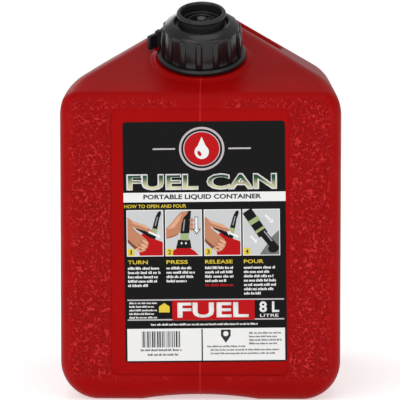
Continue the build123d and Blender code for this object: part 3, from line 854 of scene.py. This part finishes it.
def draw_panel(run, left, low, wide, high, kind):
    """One instruction picture: a hand, a red can top and a black spout in a white frame."""
    def at(u, v):
        return left + u * wide, low + v * high

    def patch(ink, level, points):
        run.shape(ink, level, [at(u, v) for u, v in points])

    def stroke(ink, level, start, end, thick):
        run.bar(ink, level, at(*start), at(*end), thick)

    def pointer(ink, level, start, end, thick):
        run.arrow(ink, level, at(*start), at(*end), thick)

    run.blocks("white", 0.220, [(left - 0.5, low - 0.5, left + wide + 0.5, low + high + 0.5)])
    run.blocks("panel_grey", 0.232, [(left, low, left + wide, low + high)])
    if kind in (1, 3):
        patch("red", 0.238, [
            (0.34, 0), (1, 0), (1, 0.30), (0.80, 0.36), (0.60, 0.44), (0.42, 0.50), (0.30, 0.30),
        ])
        patch("spout_black", 0.244, [
            (0.20, 0.64), (0.42, 0.58), (0.66, 0.50), (0.82, 0.44), (0.78, 0.36), (0.60, 0.41),
            (0.44, 0.50), (0.26, 0.58),
        ])
        patch("spout_black", 0.250, [
            (0.70, 0.58), (0.80, 0.86), (0.88, 0.98), (0.95, 0.99), (0.96, 0.93), (0.90, 0.80),
            (0.84, 0.56),
        ])
        stroke("ring_green", 0.256, (0.755, 0.49), (0.785, 0.60), 3.1)
        stroke("spout_shine", 0.256, (0.79, 0.66), (0.86, 0.86), 0.7)
        patch("skin", 0.262, [
            (0, 0.86), (0.14, 0.78), (0.34, 0.72), (0.52, 0.68), (0.62, 0.61), (0.72, 0.55),
            (0.74, 0.49), (0.66, 0.49), (0.56, 0.54), (0.42, 0.57), (0.22, 0.62), (0, 0.68),
        ])
        patch("skin_light", 0.266, [
            (0.10, 0.785), (0.34, 0.715), (0.52, 0.675), (0.62, 0.605), (0.56, 0.60), (0.40, 0.655),
            (0.16, 0.72),
        ])
        patch("skin", 0.268, [
            (0, 0.76), (0.12, 0.66), (0.26, 0.54), (0.42, 0.44), (0.54, 0.36), (0.60, 0.28),
            (0.57, 0.19), (0.50, 0.12), (0.40, 0.07), (0.30, 0.10), (0.18, 0.16), (0, 0.30),
        ])
        for u, v, turn in (
            (0.50, 0.30, -0.5), (0.46, 0.22, -0.45), (0.40, 0.155, -0.4), (0.32, 0.13, -0.3),
        ):
            x, y = at(u, v)
            run.disc("skin_light", 0.272, x, y, 2.3, 1.05, turn, 18)
        patch("skin_dark", 0.271, [
            (0, 0.30), (0.18, 0.16), (0.30, 0.10), (0.27, 0.19), (0.14, 0.27), (0, 0.38),
        ])
        stroke("skin_dark", 0.274, (0.36, 0.34), (0.50, 0.26), 0.35)
        stroke("skin_dark", 0.274, (0.30, 0.26), (0.42, 0.19), 0.35)
        ends = ((0.94, 0.40), (0.62, 0.52)) if kind == 3 else ((0.60, 0.53), (0.94, 0.41))
        pointer("white", 0.278, *ends, 1.35)
    elif kind == 2:
        patch("red", 0.238, [
            (0.12, 0), (0.92, 0), (0.80, 0.10), (0.66, 0.17), (0.32, 0.17), (0.20, 0.11),
        ])
        patch("spout_black", 0.244, [(0.28, 0.16), (0.72, 0.16), (0.68, 0.35), (0.34, 0.35)])
        stroke("ring_green", 0.250, (0.52, 0.34), (0.53, 0.49), 5.4)
        patch("spout_black", 0.250, [
            (0.40, 0.49), (0.66, 0.49), (0.70, 0.84), (0.72, 0.99), (0.60, 0.99), (0.46, 0.84),
        ])
        stroke("spout_shine", 0.256, (0.49, 0.54), (0.53, 0.80), 0.8)
        for u in (0.44, 0.56):
            run.disc("white", 0.256, *at(u, 0.27), 0.55, 0.75, 0, 12)
        patch("skin", 0.262, [
            (0, 0.60), (0.16, 0.72), (0.30, 0.86), (0.44, 0.97), (0.64, 0.99), (0.60, 0.92),
            (0.50, 0.84), (0.44, 0.70), (0.42, 0.56), (0.34, 0.46), (0.18, 0.40), (0, 0.37),
        ])
        patch("skin_light", 0.267, [
            (0.02, 0.58), (0.20, 0.72), (0.34, 0.86), (0.46, 0.93), (0.38, 0.78), (0.24, 0.62),
        ])
        for v in (0.78, 0.68, 0.59):
            x, y = at(0.73, v)
            run.disc("skin", 0.266, x, y, 1.35, 1.3, 0, 16)
        stroke("skin_dark", 0.270, (0.04, 0.385), (0.34, 0.47), 0.4)
        pointer("text_dark", 0.272, (0.865, 0.86), (0.865, 0.46), 2.3)
        pointer("white", 0.278, (0.865, 0.845), (0.865, 0.49), 1.5)
    else:
        patch("panel_dark", 0.238, [(0.45, 0), (1, 0), (1, 0.55), (0.80, 0.40)])
        stroke("spout_black", 0.250, (0.10, 0.98), (0.56, 0.44), 6.6)
        stroke("ring_green", 0.256, (0.26, 0.80), (0.33, 0.71), 7.4)
        stroke("ring_green", 0.256, (0.44, 0.58), (0.48, 0.53), 7.0)
        stroke("spout_black", 0.252, (0.52, 0.50), (0.88, 0.16), 4.6)
        stroke("spout_shine", 0.262, (0.58, 0.52), (0.80, 0.30), 0.9)
        run.disc("spout_black", 0.254, *at(0.84, 0.14), 3.6, 2.8, 0.3, 24)
        pointer("white", 0.274, (0.62, 0.88), (0.84, 0.70), 1.5)
        pointer("white", 0.274, (0.20, 0.42), (0.38, 0.26), 1.3)


class FUELCAN_OT_label(Operator):
    """Build the label film with its printed layers"""

    bl_idname = "fuel_can.label"
    bl_label = "Printed label"

    def execute(self, context):
        values = context.scene.can_label_settings
        dice = random.Random(values.seed)
        run = Print()
        for name, colour in (
            ("black", (0.0052, 0.0050, 0.0052)), ("white", (0.80, 0.80, 0.79)),
            ("panel_grey", (0.56, 0.57, 0.58)), ("panel_dark", (0.16, 0.17, 0.16)),
            ("silver", (0.50, 0.46, 0.47)), ("yellow", (0.72, 0.55, 0.05)),
            ("red", (0.46, 0.004, 0.006)), ("skin", (0.50, 0.22, 0.12)),
            ("skin_light", (0.70, 0.38, 0.24)), ("skin_dark", (0.20, 0.06, 0.03)),
            ("spout_black", (0.0065, 0.0065, 0.007)),
            ("spout_shine", (0.30, 0.30, 0.31)), ("ring_green", (0.33, 0.42, 0.20)),
            ("text_dark", (0.03, 0.035, 0.04)),
        ):
            run.ink(name, colour)
        run.ink("title_green", (0.018, 0.075, 0.035), (0.62, 0.60, 0.36))

        half_w, half_h = values.width / MM / 2, values.height / MM / 2
        deselect_all()
        bpy.ops.mesh.primitive_plane_add(size=values.width, location=(0, 0, 0))
        film = bpy.context.object
        edit_all()
        share = values.height / values.width
        bpy.ops.transform.resize(value=(1, share, 1), center_override=(0, 0, 0))
        corner_radius = 2.4 * MM
        bpy.ops.mesh.bevel(offset=corner_radius, segments=8, affect="VERTICES")
        thicken(film, FILM_TOP * MM)
        film.data.materials.append(run.inks["black"])

        # plain round badge with a drop, between two rules
        badge = (-1.4, 60.5)
        run.blocks("silver", 0.212, [(-33.0, 60.0, -18.5, 61.0), (15.7, 60.0, 30.2, 61.0)])
        for ink, level, wide, high in (
            ("silver", 0.228, 14.6, 14.0), ("black", 0.236, 13.2, 12.6),
            ("silver", 0.242, 11.9, 11.3), ("red", 0.248, 11.3, 10.7),
        ):
            run.disc(ink, level, *badge, wide, high, 0, 64)
        drop, drop_radius, drop_level, opening = [], 4.6, 58.4, 0.62
        for step in range(28):
            turn = pi / 2 + opening + (2 * pi - 2 * opening) * step / 27
            drop.append((badge[0] + drop_radius * cos(turn), drop_level + drop_radius * sin(turn)))
        drop.append((badge[0], 68.2))
        run.shape("white", 0.256, drop)
        run.disc("red", 0.264, -2.9, 57.4, 1.1, 1.9, 0.5, 20)

        # title with a pale outline, and the band under it
        run.words("white", 0.222, values.title, -1.7, TITLE_HEIGHT, 97.0, 10.6, 0.045)
        run.words("title_green", 0.234, values.title, -1.7, TITLE_HEIGHT, 95.0, 8.9, 0.012)
        run.blocks("white", 0.220, [(-half_w, 26.2, half_w, 32.4)])
        run.words("text_dark", 0.232, "PORTABLE LIQUID CONTAINER", -1.4, 29.3, 76.0, 3.7, 0.034)
        run.words("yellow", 0.222, "HOW TO OPEN AND POUR", -31.8, 23.6, 40.0, 2.3, 0.02)

        # four instruction pictures with their numbers, headings and lines
        picture_foot, picture_high = -8.4, 29.1
        panels = ((-50.0, 22.8), (-25.1, 22.8), (-0.1, 23.0), (24.9, 23.0))
        headings = (("TURN", 12.9), ("PRESS", 13.9), ("RELEASE", 17.9), ("POUR", 12.8))
        lines = (5, 4, 4, 7)
        reach = (22.0, 19.0, 21.0, 21.0)
        for index, (left, wide) in enumerate(panels):
            draw_panel(run, left, picture_foot, wide, picture_high, index + 1)
            run.blocks("yellow", 0.280, [(left, picture_foot, left + 4.4, -4.0)])
            digit_wide = 2.0 if index else 0.9
            run.words("text_dark", 0.286, str(index + 1), left + 2.2, -6.2, digit_wide, 3.0, 0.02)
            heading, heading_wide = headings[index]
            centre = left + heading_wide / 2
            run.words("yellow", 0.222, heading, centre, -12.7, heading_wide, 2.5, 0.02)
            for line in range(lines[index]):
                full = line < lines[index] - 1
                share = dice.uniform(0.84, 1.0) if full else dice.uniform(0.5, 0.75)
                middle = -16.6 - 2.8 * line
                run.small_print("white", 0.222, dice, left, middle, reach[index] * share, 1.7)
        run.small_print("red", 0.222, dice, -0.1, -27.8, 18.0, 1.7)

        # lower band
        rule_end = half_w - 1.6
        run.blocks("silver", 0.216, [
            (-rule_end, -37.75, rule_end, -36.85), (-rule_end, -50.65, rule_end, -49.75),
        ])
        for line in range(5):
            wide = 17.9 - 2.0 * (line % 2)
            run.small_print("white", 0.222, dice, -49.5, -39.2 - 2.35 * line, wide, 1.25)
        run.shape("yellow", 0.222, [
            (-30.3, -45.4), (-23.4, -45.4), (-23.4, -41.6), (-26.85, -39.3), (-30.3, -41.6),
        ])
        run.blocks("red", 0.222, [(-21.7, -50.6, 31.6, -37.6)])
        run.words("white", 0.234, "FUEL", 4.65, -44.1, 46.0, 9.9, 0.028)
        run.words("white", 0.222, "8 L", 41.0, -42.3, 12.8, 7.2, 0.03)
        run.words("white", 0.222, "LITRE", 41.0, -47.9, 12.0, 1.9, 0.015)
        run.small_print("white", 0.222, dice, -35.6, -53.3, 69.0, 1.3)

        # white foot with a bar pattern
        run.blocks("white", 0.220, [(-half_w + 1.2, -half_h + 1.0, half_w - 1.2, -56.0)])
        run.blocks("text_dark", 0.230, [(-3.05, -77.0, -2.15, -56.4)])
        bars, at = [], -41.6
        while at < -17.2:
            wide = dice.choice((0.33, 0.33, 0.66, 0.99))
            bars.append((at, -68.2, min(at + wide, -16.7), -57.7))
            at += wide + dice.choice((0.33, 0.45, 0.66))
        run.blocks("text_dark", 0.230, bars)
        run.small_print("text_dark", 0.230, dice, -42.4, -69.9, 26.6, 1.5)
        run.small_print("text_dark", 0.230, dice, -38.0, -72.9, 20.0, 1.5)
        run.shape("text_dark", 0.230, [
            (9.6, -56.9), (15.9, -56.9), (15.9, -61.0), (12.75, -65.6), (9.6, -61.0),
        ])
        run.disc("white", 0.238, 12.75, -59.6, 1.7, 1.7, 0, 20)
        for line in range(4):
            wide = 21.0 - 3.0 * (line % 2)
            run.small_print("text_dark", 0.230, dice, 27.8, -59.2 - 2.3 * line, wide, 1.25)
        for left, middle, wide in ((0.8, -67.8, 24.7), (2.8, -70.1, 44.7), (2.8, -72.4, 42.0)):
            run.small_print("text_dark", 0.230, dice, left, middle, wide, 1.2)

        label = join([film] + run.plates, "printed_label")
        centre = (LABEL_LOW + LABEL_HIGH) / 2
        stand = Matrix.Rotation(pi / 2, 4, "X") @ Matrix.Rotation(values.tilt, 4, "Z")
        label.matrix_world = Matrix.Translation((centre.x, LABEL_HIGH.y, centre.z)) @ stand
        bake_place(label)
        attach(label, "can")
        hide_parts("front_label")
        return {"FINISHED"}


class FUELCAN_OT_fittings(Operator):
    """Finish the lever, pins, springs, seals and the spout's hidden pieces"""

    bl_idname = "fuel_can.fittings"
    bl_label = "Fitting finishes"

    def execute(self, context):
        values = context.scene.can_spring_settings
        black = moulded_plastic(
            "fitting_black_plastic", (0.011, 0.011, 0.012), (0.026, 0.026, 0.027), 0.40
        )
        green = moulded_plastic("lock_ring_green", (0.10, 0.24, 0.035), (0.17, 0.34, 0.06), 0.38)
        tubing = moulded_plastic(
            "vent_tubing_pale", (0.56, 0.56, 0.52), (0.68, 0.68, 0.65), 0.34,
            sheen=0.5, grain_scale=600.0,
        )
        rubber = moulded_plastic(
            "seal_rubber_soft", (0.015, 0.015, 0.016), (0.045, 0.045, 0.045), 0.62,
            sheen=0.3, grain_scale=1400.0, grain=0.00005,
        )
        dress(["lock_lever", "lever_pin", "spout_tube", "nozzle_sleeve", "valve_disc"], black)
        dress(["lock_ring"], green)
        dress(["vent_tube"], tubing)
        dress(["flange_gasket", "tube_seal", "valve_seal"], rubber)

        blackened = moulded_plastic(
            "stem_blackened_steel", (0.030, 0.030, 0.032), (0.085, 0.085, 0.088), 0.26,
            sheen=0.75, grain_scale=1600.0,
        )
        dress(["valve_stem", "stem_nut"], blackened)
        steel, shader, place = start_finish("spring_steel", {"Metallic": 1.0})
        drawn = place.noise(place, 1800.0, 3.0)
        stain = place.noise(place, 160.0, 3.0)
        feed(shader, place, {
            "Base Color": stain.rise(0.35, 0.75).blend(
                (0.58, 0.57, 0.55, 1.0), (0.40, 0.38, 0.36, 1.0)
            ),
            "Roughness": drawn * 0.16 + stain * 0.10 + 0.14,
            "Normal": drawn.bump(0.00002),
        })
        dress(["ring_clip", "lever_spring"], steel)

        wire_sides, steps_per_turn = 12, 28
        deselect_all()
        bpy.ops.mesh.primitive_circle_add(
            vertices=wire_sides, radius=values.wire_radius, rotation=(pi / 2, 0, 0),
            location=(values.coil_radius, 0, values.coil_foot),
        )
        spring = bpy.context.object
        spring.name = "sleeve_spring"
        bake_place(spring)
        coil = spring.modifiers.new("coil", "SCREW")
        coil.angle = values.coil_turns * 2 * pi
        coil.screw_offset = values.coil_length
        coil.steps = coil.render_steps = round(values.coil_turns * steps_per_turn)
        bpy.ops.object.modifier_apply(modifier=coil.name)
        edit_all()
        bpy.ops.mesh.fill_holes(sides=wire_sides)
        bpy.ops.object.mode_set(mode="OBJECT")
        tidy_normals(spring)
        bpy.ops.object.shade_smooth_by_angle(angle=radians(50))
        stand_on_neck(spring)
        spring.data.materials.append(steel)
        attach(spring, "spout")
        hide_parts("return_spring")
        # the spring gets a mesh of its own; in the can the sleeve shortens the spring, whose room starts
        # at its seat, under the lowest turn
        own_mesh(spring)
        return {"FINISHED"}


class FUELCAN_OT_stage(Operator):
    """Set the pale floor, the soft studio light and the camera"""

    bl_idname = "fuel_can.stage"
    bl_label = "Stage, light and camera"

    def execute(self, context):
        values = context.scene.can_stage_settings
        deselect_all()
        bpy.ops.mesh.primitive_plane_add(size=80, location=(0, 0, CAD_BOX[0][2] - 0.0001))
        floor = bpy.context.object
        floor.name = "studio_floor"
        bake_place(floor)
        paper, shader, place = start_finish("floor_paper", {
            "Roughness": 0.85, "Specular IOR Level": 0.1,
            "Emission Color": (1.0, 1.0, 1.0, 1.0), "Emission Strength": 0.52,
        })
        fibre = place.noise(place, 900.0, 2.0)
        white_paper = fibre.blend((0.80, 0.80, 0.80, 1.0), (0.84, 0.84, 0.84, 1.0))
        feed(shader, place, {"Base Color": white_paper})
        floor.data.materials.append(paper)

        world = bpy.data.worlds.new("studio_air")
        world.use_nodes = True
        background = world.node_tree.nodes["Background"]
        background.inputs["Color"].default_value = (1.0, 1.0, 1.0, 1.0)
        background.inputs["Strength"].default_value = 0.50
        context.scene.world = world

        def aim(lamp, target):
            heading = Vector(target) - lamp.location
            lamp.rotation_euler = heading.to_track_quat("-Z", "Y").to_euler()

        bpy.ops.object.light_add(type="SUN", location=(-0.5, -2.0, 0.95))
        sky = bpy.context.object
        sky.name = "front_dome"
        sky.data.energy = 0.75
        sky.data.angle = radians(70)
        aim(sky, (0.0, 0.0, 0.0))
        for name, place_at, size, power in (
            ("key_softbox", (-0.9, -1.9, 0.9), (0.9, 1.1), 5.0),
            ("fill_softbox", (1.3, -1.7, 0.7), (0.8, 1.2), 3.0),
            ("top_softbox", (0.1, -0.5, 1.6), (1.0, 0.7), 2.5),
            ("rear_softbox", (-0.6, 1.8, 1.2), (1.0, 1.0), 5.0),
        ):
            bpy.ops.object.light_add(type="AREA", location=place_at)
            lamp = bpy.context.object
            lamp.name = name
            lamp.data.shape = "RECTANGLE"
            lamp.data.size, lamp.data.size_y = size
            lamp.data.energy = power
            aim(lamp, (0.0, 0.0, 0.13))

        target = Vector((0.0, CAD_BOX[0][1], values.aim_height))
        away = Vector((
            sin(values.azimuth) * cos(values.elevation),
            -cos(values.azimuth) * cos(values.elevation),
            sin(values.elevation),
        ))
        bpy.ops.object.camera_add(location=target + away * values.distance)
        camera = bpy.context.object
        camera.name = "studio_camera"
        camera.data.sensor_width = 36.0
        camera.data.lens = camera.data.sensor_width * values.distance / values.frame_width
        camera.data.dof.use_dof = False
        aim(camera, target)
        context.scene.camera = camera
        context.scene.view_settings.view_transform = "Standard"
        return {"FINISHED"}


class FUELCAN_PT_panel(Panel):
    """Lists the can's pieces in the order they are made"""

    bl_idname = "FUELCAN_PT_panel"
    bl_label = "Fuel Can"
    bl_space_type = "VIEW_3D"
    bl_region_type = "UI"
    bl_category = "Fuel Can"

    def draw(self, context):
        for operator in PIECES:
            self.layout.operator(operator.bl_idname)


SETTINGS = {
    "can_shell_settings": CanShellSettings,
    "can_collar_settings": CollarSettings,
    "can_spout_settings": SpoutSettings,
    "can_label_settings": LabelSettings,
    "can_spring_settings": SpringSettings,
    "can_stage_settings": StageSettings,
}
PIECES = (
    FUELCAN_OT_shell, FUELCAN_OT_collar, FUELCAN_OT_spout_ring, FUELCAN_OT_label,
    FUELCAN_OT_fittings, FUELCAN_OT_stage,
)


def register():
    for settings in SETTINGS.values():
        bpy.utils.register_class(settings)
    for operator in PIECES:
        bpy.utils.register_class(operator)
    bpy.utils.register_class(FUELCAN_PT_panel)
    for name, settings in SETTINGS.items():
        setattr(bpy.types.Scene, name, PointerProperty(type=settings))


def unregister():
    for name in SETTINGS:
        delattr(bpy.types.Scene, name)
    bpy.utils.unregister_class(FUELCAN_PT_panel)
    for operator in reversed(PIECES):
        bpy.utils.unregister_class(operator)
    for settings in reversed(list(SETTINGS.values())):
        bpy.utils.unregister_class(settings)


def main():
    """Register the add-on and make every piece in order."""
    register()
    bpy.ops.fuel_can.shell()
    bpy.ops.fuel_can.collar()
    bpy.ops.fuel_can.spout_ring()
    bpy.ops.fuel_can.label()
    bpy.ops.fuel_can.fittings()
    bpy.ops.fuel_can.stage()


if __name__ == "__main__":
    main()
